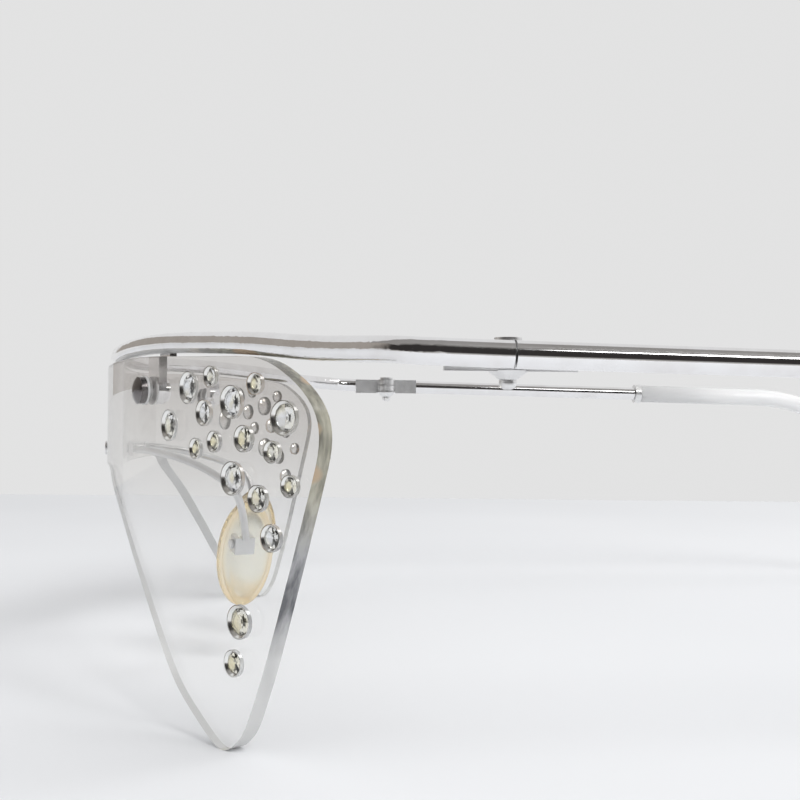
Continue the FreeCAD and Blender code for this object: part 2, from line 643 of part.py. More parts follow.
def make_tip_sleeve():
    """Clear bent sleeve over the core, closed and rounded at the end."""
    wire, last = temple_wire(SEAM_TO_SLEEVE + RING_LENGTH + 2.0 * RING_GAP, TAIL_LENGTH)
    body = sweep(wire, SLEEVE_RADIUS).fuse(Part.makeSphere(SLEEVE_RADIUS, last))
    bore_wire, _ = temple_wire(SEAM_TO_SLEEVE, TAIL_LENGTH - CORE_STOP + CORE_ROOM)
    return body.cut(sweep(bore_wire, SLEEVE_BORE))


def make_hinges():
    """Front leaves, rear leaves, screws and nuts for both sides."""
    low, first, second, high = KNUCKLE_LEVELS
    outer = [(low, first), (second, high)]
    inner = [(first, second)]
    both_sides("hinge_front_leaf", leaf(False, outer, inner))
    both_sides("hinge_rear_leaf", leaf(True, inner, outer))
    both_sides("hinge_screw", make_hinge_screw())
    both_sides("hinge_nut", make_hinge_nut())


def main():
    """Build and write every node."""
    os.makedirs("parts", exist_ok=True)
    save("brow_bar", make_brow_bar())
    save("shield_lens", make_shield_lens())
    both_sides("lens_tab", make_lens_tab())
    both_sides("lens_screw", make_lens_screw())
    both_sides("lens_cap_nut", make_cap_nut())
    both_sides("lens_washers", make_washers())
    both_sides("stone_cups", make_set(make_cup))
    both_sides("stones", make_set(make_stone))
    save("pad_bridge", make_pad_bridge())
    screw = make_bridge_screw()
    save("bridge_screws", Part.makeCompound([screw, screw.mirror(V(0, 0, 0), V(1, 0, 0))]))
    both_sides("pad_arm", make_pad_arm())
    both_sides("pad_box", make_pad_box())
    both_sides("pad_screw", make_pad_screw())
    both_sides("nose_pad", make_nose_pad())
    make_hinges()
    both_sides("temple", make_temple())
    both_sides("tip_ring", make_tip_ring())
    both_sides("tip_sleeve", make_tip_sleeve())


main()
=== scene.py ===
"""Looks for a pair of rimless shield sunglasses with set stones and folding temples."""

import logging
import math
from dataclasses import dataclass, field
from enum import Enum

import bmesh
import bpy
from mathutils import Matrix, Vector


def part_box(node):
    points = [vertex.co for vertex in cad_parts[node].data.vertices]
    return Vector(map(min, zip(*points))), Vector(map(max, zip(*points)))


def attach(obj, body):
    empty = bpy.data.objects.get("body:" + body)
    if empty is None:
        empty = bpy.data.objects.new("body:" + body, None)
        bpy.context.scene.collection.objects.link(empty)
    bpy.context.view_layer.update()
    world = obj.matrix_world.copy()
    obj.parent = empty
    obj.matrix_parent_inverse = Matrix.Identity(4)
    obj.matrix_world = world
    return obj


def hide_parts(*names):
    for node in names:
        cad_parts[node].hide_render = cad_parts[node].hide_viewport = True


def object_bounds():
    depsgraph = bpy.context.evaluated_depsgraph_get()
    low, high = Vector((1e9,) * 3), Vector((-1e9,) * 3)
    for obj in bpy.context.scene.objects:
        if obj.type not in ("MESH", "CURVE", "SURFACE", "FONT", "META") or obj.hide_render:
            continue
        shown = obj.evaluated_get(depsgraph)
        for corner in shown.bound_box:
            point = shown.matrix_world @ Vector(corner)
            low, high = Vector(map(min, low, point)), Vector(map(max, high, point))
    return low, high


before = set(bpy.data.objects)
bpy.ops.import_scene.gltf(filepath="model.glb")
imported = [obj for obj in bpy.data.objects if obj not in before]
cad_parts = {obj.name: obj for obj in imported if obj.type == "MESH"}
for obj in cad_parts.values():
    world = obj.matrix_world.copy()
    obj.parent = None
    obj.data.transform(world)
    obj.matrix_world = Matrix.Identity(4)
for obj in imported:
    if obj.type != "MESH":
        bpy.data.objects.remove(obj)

CAD_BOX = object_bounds()

Socket = bpy.types.NodeSocket
Material = bpy.types.Material
Piece = bpy.types.Object
BMesh = bmesh.types.BMesh
BMVert = bmesh.types.BMVert
BMEdge = bmesh.types.BMEdge

logging.basicConfig(level=logging.INFO, format="%(levelname)s %(message)s")
LOG = logging.getLogger("sunglasses")

MM = 0.001
WELD = 1e-7
LEVEL = 1e-5
SHARP_ANGLE = math.radians(32.0)
BEVEL_ANGLE = math.radians(50.0)
QUARTER_TURN = math.radians(90.0)
OVAL_STEPS = 64


class Side(Enum):
    """Which half of the pair a piece belongs to; the value is its sign along X."""

    LEFT = 1
    RIGHT = -1

    @property
    def word(self) -> str:
        """The side's lower-case name, as the frame's nodes spell it.

        Returns:
            The name.
        """
        return self.name.lower()


class Grain(Enum):
    """How a metal surface was worked."""

    POLISHED = "polished"
    TUMBLED = "tumbled"


GRAIN_SPREAD = {Grain.POLISHED: 0.05, Grain.TUMBLED: 0.14}
GRAIN_DEPTH = {Grain.POLISHED: 0.000004, Grain.TUMBLED: 0.00002}


# ---- finishes


class NodeBench:
    """A small workbench for laying out one material's nodes."""

    def __init__(self, name: str) -> None:
        """Start an empty node material.

        Args:
            name: the material's name.
        """
        self.material = bpy.data.materials.new(name)
        self.material.use_nodes = True
        self.tree = self.material.node_tree
        self.tree.nodes.clear()
        self.output = self.tree.nodes.new("ShaderNodeOutputMaterial")

    def add(self, kind: str, **settings: object) -> bpy.types.Node:
        """Add one node.

        Args:
            kind: the node's Blender type.
            settings: attributes to set on the node.

        Returns:
            The new node.
        """
        node = self.tree.nodes.new(kind)
        for key, value in settings.items():
            setattr(node, key, value)
        return node

    def join(self, start: Socket, end: Socket) -> None:
        """Link an output socket to an input socket.

        Args:
            start: the output.
            end: the input.
        """
        self.tree.links.new(start, end)

    def place(self) -> Socket:
        """Object coordinates, in metres.

        Returns:
            The coordinates' socket.
        """
        return self.add("ShaderNodeTexCoord").outputs["Object"]

    def parts(self, vector: Socket) -> bpy.types.NodeOutputs:
        """Split a vector.

        Args:
            vector: the socket to split.

        Returns:
            The X, Y and Z outputs.
        """
        node = self.add("ShaderNodeSeparateXYZ")
        self.join(vector, node.inputs[0])
        return node.outputs

    def sums(self, operation: str, first: object, second: object = 0.0) -> Socket:
        """One unclamped math step.

        Args:
            operation: the Math node's operation.
            first: a socket or a number.
            second: a socket or a number.

        Returns:
            The result's socket.
        """
        node = self.add("ShaderNodeMath", operation=operation)
        for slot, value in enumerate((first, second)):
            if isinstance(value, Socket):
                self.join(value, node.inputs[slot])
            else:
                node.inputs[slot].default_value = value
        return node.outputs[0]

    def noise(self, scale: float, detail: float = 2.0, rough: float = 0.5,
              place: Socket = None) -> Socket:
        """Noise over object coordinates.

        Args:
            scale: features per metre.
            detail: octaves.
            rough: weight of the small octaves.
            place: where it is read, if not straight from object coordinates.

        Returns:
            The noise factor's socket.
        """
        node = self.add("ShaderNodeTexNoise")
        node.inputs["Scale"].default_value = scale
        node.inputs["Detail"].default_value = detail
        node.inputs["Roughness"].default_value = rough
        self.join(place or self.place(), node.inputs["Vector"])
        return node.outputs[0]

    def blend(self, factor: Socket, first: object, second: object) -> Socket:
        """Mix two colours.

        Args:
            factor: how much of the second shows.
            first: a socket or a colour.
            second: a socket or a colour.

        Returns:
            The mixed colour's socket.
        """
        node = self.add("ShaderNodeMix", data_type="RGBA")
        self.join(factor, node.inputs["Factor"])
        for key, value in (("A", first), ("B", second)):
            if isinstance(value, Socket):
                self.join(value, node.inputs[key])
            else:
                node.inputs[key].default_value = (*value, 1.0)
        return node.outputs["Result"]

    def ramp(self, factor: Socket, stops: tuple, colours: tuple) -> Socket:
        """A colour ramp.

        Args:
            factor: what drives the ramp.
            stops: the positions.
            colours: the colour at each.

        Returns:
            The colour's socket.
        """
        node = self.add("ShaderNodeValToRGB")
        band = node.color_ramp
        while len(band.elements) < len(stops):
            band.elements.new(1.0)
        for element, position, colour in zip(band.elements, stops, colours):
            element.position = position
            element.color = (*colour, 1.0)
        self.join(factor, node.inputs[0])
        return node.outputs[0]

    def spread(self, value: Socket, low: float, high: float, to_low: float = 0.0,
               to_high: float = 1.0) -> Socket:
        """Map a range of values onto another, held at its ends.

        Args:
            value: the socket to map.
            low: start of the range read.
            high: end of the range read.
            to_low: what the start becomes.
            to_high: what the end becomes.

        Returns:
            The mapped value's socket.
        """
        node = self.add("ShaderNodeMapRange")
        self.join(value, node.inputs["Value"])
        for key, number in (("From Min", low), ("From Max", high), ("To Min", to_low), ("To Max", to_high)):
            node.inputs[key].default_value = number
        return node.outputs[0]

    def bump(self, height: Socket, strength: float, depth: float) -> Socket:
        """A bump normal from a height field.

        Args:
            height: the field's socket.
            strength: how much of it shows.
            depth: its height in metres.

        Returns:
            The normal's socket.
        """
        node = self.add("ShaderNodeBump")
        node.inputs["Strength"].default_value = strength
        node.inputs["Distance"].default_value = depth
        self.join(height, node.inputs["Height"])
        return node.outputs[0]

    def principled(self, **inputs: object) -> None:
        """A Principled shader wired to the output.

        Args:
            inputs: sockets or constants for its inputs, with underscores for spaces.
        """
        shader = self.add("ShaderNodeBsdfPrincipled")
        for key, value in inputs.items():
            entry = shader.inputs[key.replace("_", " ")]
            if isinstance(value, Socket):
                self.join(value, entry)
            else:
                entry.default_value = value
        self.join(shader.outputs[0], self.output.inputs["Surface"])


@dataclass(frozen=True)
class MetalFinish:
    """Plated metal with faint handling marks."""

    name: str
    light: tuple
    dark: tuple
    rough: float = 0.06
    grain: Grain = Grain.POLISHED
    mottle_scale: float = 260.0
    mottle_stops: tuple = (0.30, 0.62)
    mark_scale: float = 1500.0
    mark_range: tuple = (0.35, 0.75)
    mark_strength: float = 0.25

    def build(self) -> Material:
        """Make the material.

        Returns:
            The finished material.
        """
        bench = NodeBench(self.name)
        mottle = bench.noise(self.mottle_scale, 4.0, 0.6)
        colour = bench.ramp(mottle, self.mottle_stops, (self.dark, self.light))
        marks = bench.noise(self.mark_scale, 3.0, 0.7)
        roughest = self.rough + GRAIN_SPREAD[self.grain]
        rough = bench.spread(marks, *self.mark_range, self.rough, roughest)
        bump = bench.bump(marks, self.mark_strength, GRAIN_DEPTH[self.grain])
        bench.principled(Metallic=1.0, Base_Color=colour, Roughness=rough, Normal=bump)
        return bench.material


@dataclass(frozen=True)
class LensFinish:
    """Clear plastic whose grey tint fades out downwards, with a cut and polished edge whose streaks and
    patches are painted reflections.
    """

    name: str
    centre_y: float
    top_z: float
    foot_z: float
    top_tint: tuple = (0.80, 0.783, 0.768)
    middle_tint: tuple = (0.965, 0.963, 0.957)
    foot_tint: tuple = (0.995, 0.995, 0.99)
    # The edge colours below are painted reflections of the surroundings on the polished cut edge, not the
    # plastic's own colour.
    edge_reflection_grey: tuple = (0.55, 0.555, 0.57)
    edge_reflection_dark: tuple = (0.16, 0.165, 0.18)
    edge_reflection_warm: tuple = (0.66, 0.50, 0.34)
    upper_reflection_tan: tuple = (0.60, 0.58, 0.47)
    upper_reflection_dark: tuple = (0.20, 0.19, 0.15)
    edge_foot_reflection: tuple = (0.84, 0.845, 0.84)
    foot_fade: tuple = (0.24, 0.36)
    upper_fade: tuple = (0.50, 0.66)
    inner_fade: tuple = (0.040, 0.050)
    tint_stops: tuple = (0.10, 0.52, 0.95)
    wander_scale: float = 30.0
    wander_reach: float = 0.06
    streak_scale: float = 1100.0
    streak_squash: float = 0.18
    streak_share: float = 0.45
    band_scale: float = 190.0
    edge_stops: tuple = (0.40, 0.60)
    patch_scale: float = 240.0
    patch_range: tuple = (0.60, 0.66)
    rim_range: tuple = (0.9, 0.55)
    rim_clear: float = 0.35
    rim_rough: float = 0.18
    index: float = 1.49

    def outward(self, bench: NodeBench) -> Socket:
        """The direction straight out from the lens's upright axis.

        Args:
            bench: the material being built.

        Returns:
            The unit vector's socket.
        """
        shift = bench.add("ShaderNodeMapping")
        shift.inputs["Location"].default_value = (0.0, -self.centre_y, 0.0)
        shift.inputs["Scale"].default_value = (1.0, 1.0, 0.0)
        bench.join(bench.place(), shift.inputs["Vector"])
        radius = bench.add("ShaderNodeVectorMath", operation="NORMALIZE")
        bench.join(shift.outputs[0], radius.inputs[0])
        return radius.outputs[0]

    def facing(self, bench: NodeBench, outward: Socket) -> Socket:
        """How far the surface faces outwards: 1 on the front, -1 on the back, 0 on the cut edge.

        Args:
            bench: the material being built.
            outward: the direction out from the axis.

        Returns:
            The value's socket.
        """
        dot = bench.add("ShaderNodeVectorMath", operation="DOT_PRODUCT")
        bench.join(outward, dot.inputs[0])
        bench.join(bench.add("ShaderNodeTexCoord").outputs["Normal"], dot.inputs[1])
        return dot.outputs["Value"]

    def even_normal(self, bench: NodeBench, outward: Socket,
                    facing: Socket, rim: Socket) -> Socket:
        """A normal that follows the true cylinder on the curved faces and the mesh on the edge.

        Args:
            bench: the material being built.
            outward: the direction out from the axis.
            facing: how far the surface faces outwards.
            rim: 1 on the cut edge, 0 on the faces.

        Returns:
            The normal's socket.
        """
        turned = bench.add("ShaderNodeVectorMath", operation="SCALE")
        bench.join(outward, turned.inputs[0])
        bench.join(bench.sums("SIGN", facing), turned.inputs["Scale"])
        blend = bench.add("ShaderNodeMix", data_type="VECTOR")
        bench.join(bench.sums("GREATER_THAN", rim, 0.5), blend.inputs["Factor"])
        bench.join(turned.outputs[0], blend.inputs["A"])
        bench.join(bench.add("ShaderNodeTexCoord").outputs["Normal"], blend.inputs["B"])
        return blend.outputs["Result"]

    def edge_painted_reflection(self, bench: NodeBench) -> Socket:
        """Painted reflections on the cut edge: grey streaks with a few warm patches, painted by height, tan
        higher up and pale near the foot and the inner cut-out.

        Args:
            bench: the material being built.

        Returns:
            The colour's socket.
        """
        along = bench.add("ShaderNodeMapping")
        along.inputs["Scale"].default_value = (1.0, 1.0, self.streak_squash)
        bench.join(bench.place(), along.inputs["Vector"])
        streaks = bench.noise(self.streak_scale, 3.0, 0.6, along.outputs[0])
        bands = bench.noise(self.band_scale, 1.0, 0.4)
        fine = bench.sums("MULTIPLY", streaks, self.streak_share)
        broad = bench.sums("MULTIPLY", bands, 1.0 - self.streak_share)
        level = bench.sums("ADD", fine, broad)
        cool = bench.ramp(level, self.edge_stops, (self.edge_reflection_dark, self.edge_reflection_grey))
        warm = bench.ramp(level, self.edge_stops, (self.upper_reflection_dark, self.upper_reflection_tan))
        across, _, up = bench.parts(bench.place())
        height = bench.spread(up, self.foot_z, self.top_z)
        grey = bench.blend(bench.spread(height, *self.upper_fade), cool, warm)
        patches = bench.spread(bench.noise(self.patch_scale, 0.0), *self.patch_range)
        mottled = bench.blend(patches, grey, self.edge_reflection_warm)
        outside = bench.spread(bench.sums("ABSOLUTE", across), *self.inner_fade)
        strong = bench.sums("MULTIPLY", outside, bench.spread(height, *self.foot_fade))
        return bench.blend(strong, self.edge_foot_reflection, mottled)

    def build(self) -> Material:
        """Make the material.

        Returns:
            The finished material.
        """
        bench = NodeBench(self.name)
        height = bench.spread(bench.parts(bench.place())[2], self.foot_z, self.top_z)
        wander = bench.sums("MULTIPLY", bench.noise(self.wander_scale, 1.0), self.wander_reach)
        level = bench.sums("ADD", height, wander)
        tints = (self.foot_tint, self.middle_tint, self.top_tint)
        tint = bench.ramp(level, self.tint_stops, tints)
        outward = self.outward(bench)
        facing = self.facing(bench, outward)
        rim = bench.spread(bench.sums("ABSOLUTE", facing), *self.rim_range)
        # On the cut edge the tint gives way to its painted reflections.
        colour = bench.blend(rim, tint, self.edge_painted_reflection(bench))
        clear = bench.spread(rim, 0.0, 1.0, 1.0, self.rim_clear)
        rough = bench.spread(rim, 0.0, 1.0, 0.0, self.rim_rough)
        normal = self.even_normal(bench, outward, facing, rim)
        bench.principled(IOR=self.index, Base_Color=colour, Transmission_Weight=clear,
                         Roughness=rough, Normal=normal)
        return bench.material


@dataclass(frozen=True)
class GlassFinish:
    """Cut glass or clear moulded plastic."""

    name: str
    light: tuple
    warm: tuple
    index: float = 1.55
    rough: float = 0.0
    patch_scale: float = 400.0
    patch_stops: tuple = (0.42, 0.58)
    dust_scale: float = 3000.0
    dust_range: tuple = (0.4, 0.8)
    dust_rough: float = 0.05

    def build(self) -> Material:
        """Make the material.

        Returns:
            The finished material.
        """
        bench = NodeBench(self.name)
        patch = bench.noise(self.patch_scale, 1.0)
        colour = bench.ramp(patch, self.patch_stops, (self.light, self.warm))
        dust = bench.noise(self.dust_scale, 2.0)
        dusty = self.rough + self.dust_rough
        rough = bench.spread(dust, *self.dust_range, self.rough, dusty)
        bench.principled(Transmission_Weight=1.0, IOR=self.index, Base_Color=colour, Roughness=rough)
        return bench.material


@dataclass(frozen=True)
class MilkyFinish:
    """Soft clear plastic clouded white, as on ear sleeves and thin washers."""

    name: str
    light: tuple = (0.99, 0.99, 0.99)
    shade: tuple = (0.94, 0.945, 0.95)
    clear: float = 0.3
    index: float = 1.45
    cloud_scale: float = 90.0
    cloud_stops: tuple = (0.35, 0.65)
    scuff_scale: float = 1400.0
    scuff_range: tuple = (0.35, 0.75)
    roughness: tuple = (0.10, 0.22)

    def build(self) -> Material:
        """Make the material.

        Returns:
            The finished material.
        """
        bench = NodeBench(self.name)
        cloud = bench.noise(self.cloud_scale, 2.0)
        colour = bench.ramp(cloud, self.cloud_stops, (self.shade, self.light))
        scuffs = bench.noise(self.scuff_scale, 3.0)
        rough = bench.spread(scuffs, *self.scuff_range, *self.roughness)
        bench.principled(Transmission_Weight=self.clear, IOR=self.index, Base_Color=colour,
                         Roughness=rough)
        return bench.material


@dataclass(frozen=True)
class SiliconeFinish:
    """Soft clear silicone that has yellowed, deeper in colour round its rim."""

    name: str
    centre: tuple
    reach: tuple
    turned: tuple
    heart: tuple = (0.985, 0.98, 0.925)
    rim: tuple = (0.95, 0.74, 0.40)
    rim_starts: float = 0.55
    rim_stops: tuple = (0.3, 0.95)
    clear: float = 0.9
    index: float = 1.41
    inner_glow: float = 0.1
    glow_reach: tuple = (0.002, 0.0015, 0.001)
    smear_scale: float = 900.0
    smear_range: tuple = (0.3, 0.7)
    roughness: tuple = (0.10, 0.22)
    smear_strength: float = 0.2
    smear_depth: float = 0.00003

    def build(self) -> Material:
        """Make the material.

        Returns:
            The finished material.
        """
        bench = NodeBench(self.name)
        axes = bench.add("ShaderNodeMapping", vector_type="TEXTURE")
        axes.inputs["Location"].default_value = self.centre
        axes.inputs["Rotation"].default_value = self.turned
        axes.inputs["Scale"].default_value = self.reach
        bench.join(bench.place(), axes.inputs["Vector"])
        length = bench.add("ShaderNodeVectorMath", operation="LENGTH")
        bench.join(axes.outputs[0], length.inputs[0])
        rimward = bench.spread(length.outputs["Value"], self.rim_starts, 1.0)
        colour = bench.ramp(rimward, self.rim_stops, (self.heart, self.rim))
        smear = bench.noise(self.smear_scale, 2.0)
        rough = bench.spread(smear, *self.smear_range, *self.roughness)
        bump = bench.bump(smear, self.smear_strength, self.smear_depth)
        bench.principled(Transmission_Weight=self.clear, IOR=self.index,
                         Subsurface_Weight=self.inner_glow, Subsurface_Radius=self.glow_reach,
                         Base_Color=colour, Roughness=rough, Normal=bump)
        return bench.material


@dataclass(frozen=True)
class TableFinish:
    """Smooth pale table top."""

    name: str = "pale_table"
    colour: tuple = (0.785, 0.793, 0.81)
    shade: tuple = (0.745, 0.753, 0.77)
    cloud_scale: float = 6.0
    cloud_stops: tuple = (0.3, 0.7)

    def build(self) -> Material:
        """Make the material.

        Returns:
            The finished material.
        """
        bench = NodeBench(self.name)
        cloud = bench.noise(self.cloud_scale)
        colour = bench.ramp(cloud, self.cloud_stops, (self.shade, self.colour))
        bench.principled(Roughness=0.5, Specular_IOR_Level=0.0, Base_Color=colour)
        return bench.material


def dress(piece: Piece, material: Material) -> None:
    """Give a piece one material.

    Args:
        piece: the mesh object.
        material: what it wears.
    """
    piece.data.materials.clear()
    piece.data.materials.append(material)


# ---- shaping


def piece_from(name: str, mesh: BMesh, smooth: bool = True) -> Piece:
    """Turn a bmesh into a linked object at the origin.

    Args:
        name: the piece's name.
        mesh: the bmesh, which is freed.
        smooth: whether its faces shade smoothly.

    Returns:
        The new object.
    """
    bmesh.ops.recalc_face_normals(mesh, faces=mesh.faces)
    data = bpy.data.meshes.new(name)
    mesh.to_mesh(data)
    mesh.free()
    for face in data.polygons:
        face.use_smooth = smooth
    made = bpy.data.objects.new(name, data)
    bpy.context.scene.collection.objects.link(made)
    return made


def stand_in(piece: Piece, node: str, body: str) -> None:
    """Let a shaped piece stand for a CAD node and move with its body.

    Args:
        piece: the shaped piece.
        node: the node it stands for.
        body: the body it rides on.
    """
    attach(piece, body)
    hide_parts(node)
    LOG.info("%s stands for %s", piece.name, node)


def smooth_group() -> bpy.types.NodeTree:
    """A geometry group that shades smoothly everywhere but across sharp edges.

    Returns:
        The node group.
    """
    group = bpy.data.node_groups.new("smooth_between_edges", "GeometryNodeTree")
    for direction in ("INPUT", "OUTPUT"):
        group.interface.new_socket("Geometry", in_out=direction, socket_type="NodeSocketGeometry")
    start = group.nodes.new("NodeGroupInput")
    end = group.nodes.new("NodeGroupOutput")
    faces = group.nodes.new("GeometryNodeSetShadeSmooth")
    edges = group.nodes.new("GeometryNodeSetShadeSmooth")
    edges.domain = "EDGE"
    edges.inputs["Shade Smooth"].default_value = False
    angle = group.nodes.new("GeometryNodeInputMeshEdgeAngle")
    sharp = group.nodes.new("FunctionNodeCompare")
    sharp.operation = "GREATER_THAN"
    sharp.inputs["B"].default_value = SHARP_ANGLE
    group.links.new(angle.outputs["Unsigned Angle"], sharp.inputs["A"])
    group.links.new(sharp.outputs[0], edges.inputs["Selection"])
    group.links.new(start.outputs[0], faces.inputs["Geometry"])
    group.links.new(faces.outputs[0], edges.inputs["Geometry"])
    group.links.new(edges.outputs[0], end.inputs[0])
    return group


def soften(node: Piece, width: float) -> None:
    """Break a node's sharp edges with a small bevel.

    Args:
        node: the CAD node.
        width: the bevel's width in metres.
    """
    bevel = node.modifiers.new("broken_edges", "BEVEL")
    bevel.width = width
    bevel.segments = 2
    bevel.limit_method = "ANGLE"
    bevel.angle_limit = BEVEL_ANGLE
    bevel.harden_normals = True


def lathe(mesh: BMesh, profile: tuple, steps: int = 32) -> list:
    """Turn a profile of (radius, height) pairs about Z.

    Args:
        mesh: the bmesh to add to.
        profile: the pairs, in order along the surface.
        steps: how many divisions go round.

    Returns:
        The new vertices.
    """
    before = set(mesh.verts)
    points = [mesh.verts.new((radius, 0.0, height)) for radius, height in profile]
    edges = [mesh.edges.new(pair) for pair in zip(points, points[1:])]
    bmesh.ops.spin(mesh, geom=points + edges, cent=(0, 0, 0), axis=(0, 0, 1), angle=math.tau,
                   steps=steps, use_merge=True)
    fresh = [vert for vert in mesh.verts if vert not in before]
    bmesh.ops.remove_doubles(mesh, verts=fresh, dist=WELD)
    return [vert for vert in mesh.verts if vert not in before]


def oval_ring(mesh: BMesh, half_tall: float, half_wide: float, level: float,
              capped: bool) -> list:
    """Add an oval ring of edges in a level plane.

    Args:
        mesh: the bmesh to add to.
        half_tall: half its length along X.
        half_wide: half its width along Y.
        level: its height.
        capped: whether it is closed with a face.

    Returns:
        The ring's edges.
    """
    made = bmesh.ops.create_circle(mesh, cap_ends=capped, segments=OVAL_STEPS, radius=1.0)
    shape = Matrix.Translation((0.0, 0.0, level)) @ Matrix.Diagonal((half_tall, half_wide, 1.0, 1.0))
    bmesh.ops.transform(mesh, matrix=shape, verts=made["verts"])
    edges = {edge for vert in made["verts"] for edge in vert.link_edges}
    return list(edges)


def loose_parts(node: Piece) -> list:
    """Split a node's vertices into its separate solids.

    Args:
        node: the CAD node.

    Returns:
        One list of points for each solid, in the frame's axes.
    """
    mesh = bmesh.new()
    mesh.from_mesh(node.data)
    mesh.transform(node.matrix_world)
    bmesh.ops.remove_doubles(mesh, verts=mesh.verts, dist=WELD)
    waiting = set(mesh.verts)
    groups = []
    while waiting:
        front = [waiting.pop()]
        group = []
        while front:
            vert = front.pop()
            group.append(vert.co.copy())
            near = {edge.other_vert(vert) for edge in vert.link_edges} & waiting
            waiting -= near
            front.extend(near)
        groups.append(group)
    mesh.free()
    return groups


# ---- set stones


@dataclass(frozen=True)
class Seat:
    """Where one round part sits on the lens, measured from the lens's upright axis."""

    angle: float
    height: float
    radius: float
    deep: float
    proud: float
    axis_y: float

    @classmethod
    def read(cls, points: list, axis_y: float) -> "Seat":
        """Measure one solid.

        Args:
            points: its vertices.
            axis_y: Y of the lens's axis.

        Returns:
            Its seat.
        """
        angles = [math.atan2(point.x, axis_y - point.y) for point in points]
        angle = (min(angles) + max(angles)) / 2.0
        levels = [point.z for point in points]
        reach = [point.x * math.sin(angle) + (axis_y - point.y) * math.cos(angle) for point in points]
        radius = (max(levels) - min(levels)) / 2.0
        return cls(angle, (max(levels) + min(levels)) / 2.0, radius, min(reach), max(reach), axis_y)

    def matrix(self) -> Matrix:
        """Stand +Z square to the lens, with z = 0 at the deepest point.

        Returns:
            The seat's matrix.
        """
        foot = (self.deep * math.sin(self.angle), self.axis_y - self.deep * math.cos(self.angle),
                self.height)
        turn = Matrix.Rotation(self.angle, 4, "Z") @ Matrix.Rotation(QUARTER_TURN, 4, "X")
        return Matrix.Translation(foot) @ turn


@dataclass
class StoneField:
    """The scattered stones and their cups on one side of the lens."""

    side: Side
    axis_y: float
    stone_glass: Material
    cup_metal: Material
    facets: int = 12
    table_share: float = 0.58
    culet_share: float = 0.12
    girdle_share: float = 0.65
    lip: float = 0.10 * MM
    lip_round: float = 0.035 * MM
    floor: float = 0.12 * MM
    taper: float = 0.60

    def build(self) -> None:
        """Cut every stone and turn every cup."""
        self.fill("stones", "cut_stones", self.cut_stone, self.stone_glass, False)
        self.fill("stone_cups", "bright_cups", self.turn_cup, self.cup_metal, True)

    def fill(self, stem: str, title: str, shape: object, finish: Material, smooth: bool) -> None:
        """Shape one part for each solid of a node.

        Args:
            stem: the node's name without its side.
            title: the new piece's name without its side.
            shape: what makes one part.
            finish: the piece's material.
            smooth: whether it shades smoothly.
        """
        node = f"{stem}_{self.side.word}"
        mesh = bmesh.new()
        for points in loose_parts(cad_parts[node]):
            seat = Seat.read(points, self.axis_y)
            made = shape(mesh, seat)
            bmesh.ops.transform(mesh, matrix=seat.matrix(), verts=made)
        piece = piece_from(f"{title}_{self.side.word}", mesh, smooth)
        dress(piece, finish)
        stand_in(piece, node, "front")

    def cut_stone(self, mesh: BMesh, seat: Seat) -> list:
        """Cut one stone: pavilion, girdle, crown of twisted facets and a flat table.

        Args:
            mesh: the bmesh to add to.
            seat: where it sits.

        Returns:
            Its vertices.
        """
        tall = seat.proud - seat.deep
        waist = tall * self.girdle_share
        made = bmesh.ops.create_cone(mesh, cap_ends=True, segments=self.facets, depth=waist,
                                     radius1=seat.radius * self.culet_share, radius2=seat.radius)["verts"]
        bmesh.ops.translate(mesh, vec=(0, 0, waist / 2.0), verts=made)
        faces = {face for vert in made for face in vert.link_faces}
        top = max(faces, key=lambda face: face.calc_center_median().z)
        slope = seat.radius * (1.0 - self.table_share)
        bmesh.ops.inset_region(mesh, faces=[top], thickness=slope, depth=tall - waist)
        half_step = Matrix.Rotation(math.pi / self.facets, 3, "Z")
        bmesh.ops.rotate(mesh, cent=(0, 0, 0), matrix=half_step, verts=top.verts)
        island = self.island_of(top.verts[0])
        sides = [face for vert in island for face in vert.link_faces if len(face.verts) == 4]
        bmesh.ops.triangulate(mesh, faces=list(set(sides)))
        return island

    def island_of(self, start: BMVert) -> list:
        """Every vertex joined to one vertex.

        Args:
            start: that vertex.

        Returns:
            The vertices, itself among them.
        """
        seen = {start}
        front = [start]
        while front:
            vert = front.pop()
            near = {edge.other_vert(vert) for edge in vert.link_edges} - seen
            seen |= near
            front.extend(near)
        return list(seen)

    def turn_cup(self, mesh: BMesh, seat: Seat) -> list:
        """Turn one cup with a rolled lip.

        Args:
            mesh: the bmesh to add to.
            seat: where it sits.

        Returns:
            Its vertices.
        """
        tall = seat.proud - seat.deep
        wide = seat.radius
        profile = (
            (0.0, self.floor), (wide * self.taper, self.floor), (wide - self.lip, tall - self.lip_round),
            (wide - self.lip + self.lip_round, tall), (wide - self.lip_round, tall),
            (wide, tall - self.lip_round), (wide, 0.0), (0.0, 0.0),
        )
        return lathe(mesh, profile)


# ---- nose pads


